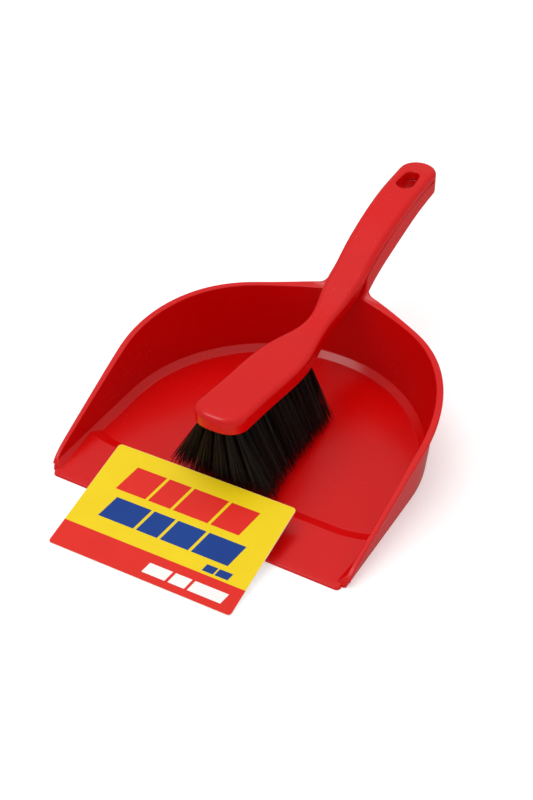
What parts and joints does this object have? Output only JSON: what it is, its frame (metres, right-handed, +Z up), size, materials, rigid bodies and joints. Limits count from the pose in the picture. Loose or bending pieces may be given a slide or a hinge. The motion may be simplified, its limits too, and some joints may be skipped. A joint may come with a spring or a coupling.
{
  "type": "dustpan and brush",
  "caption": "Flat-floored dustpan with a ramped lip, high curved back and hollow handle, with a bannister brush nested on its handle and a printed card leaning at the lip.",
  "frame": {"origin": "on the floor plane under the pan, at the centre of its round back wall", "axes": "+Z up, +Y from the scraping lip towards the end of the handle, +X to the right seen from behind the lip"},
  "size_m": [0.2382, 0.4036, 0.1052],
  "materials": {
    "red_plastic": "semi-gloss moulded polypropylene",
    "black_bristle": "crimped black polypropylene filament",
    "anchor_steel": "flat galvanised anchor wire",
    "printed_card": "coated board printed yellow with a red band"
  },
  "bodies": {
    "pan": {"dustpan": "red_plastic"},
    "brush": {"brush_stock": "red_plastic", "bristle_row_1": "black_bristle", "bristle_row_2": "black_bristle", "bristle_row_3": "black_bristle", "bristle_row_4": "black_bristle", "bristle_row_5": "black_bristle", "anchor_row_1": "anchor_steel", "anchor_row_2": "anchor_steel", "anchor_row_3": "anchor_steel", "anchor_row_4": "anchor_steel", "anchor_row_5": "anchor_steel"},
    "card": {"label_card": "printed_card"}
  },
  "joints": [
    {"name": "brush_lift", "type": "slide", "parent": "pan", "child": "brush", "axis": [0, 0, 1], "range_m": [0, 0.12]},
    {"name": "card_draw", "type": "slide", "parent": "pan", "child": "card", "axis": [0, -1, 0], "range_m": [0, 0.12]}
  ]
}
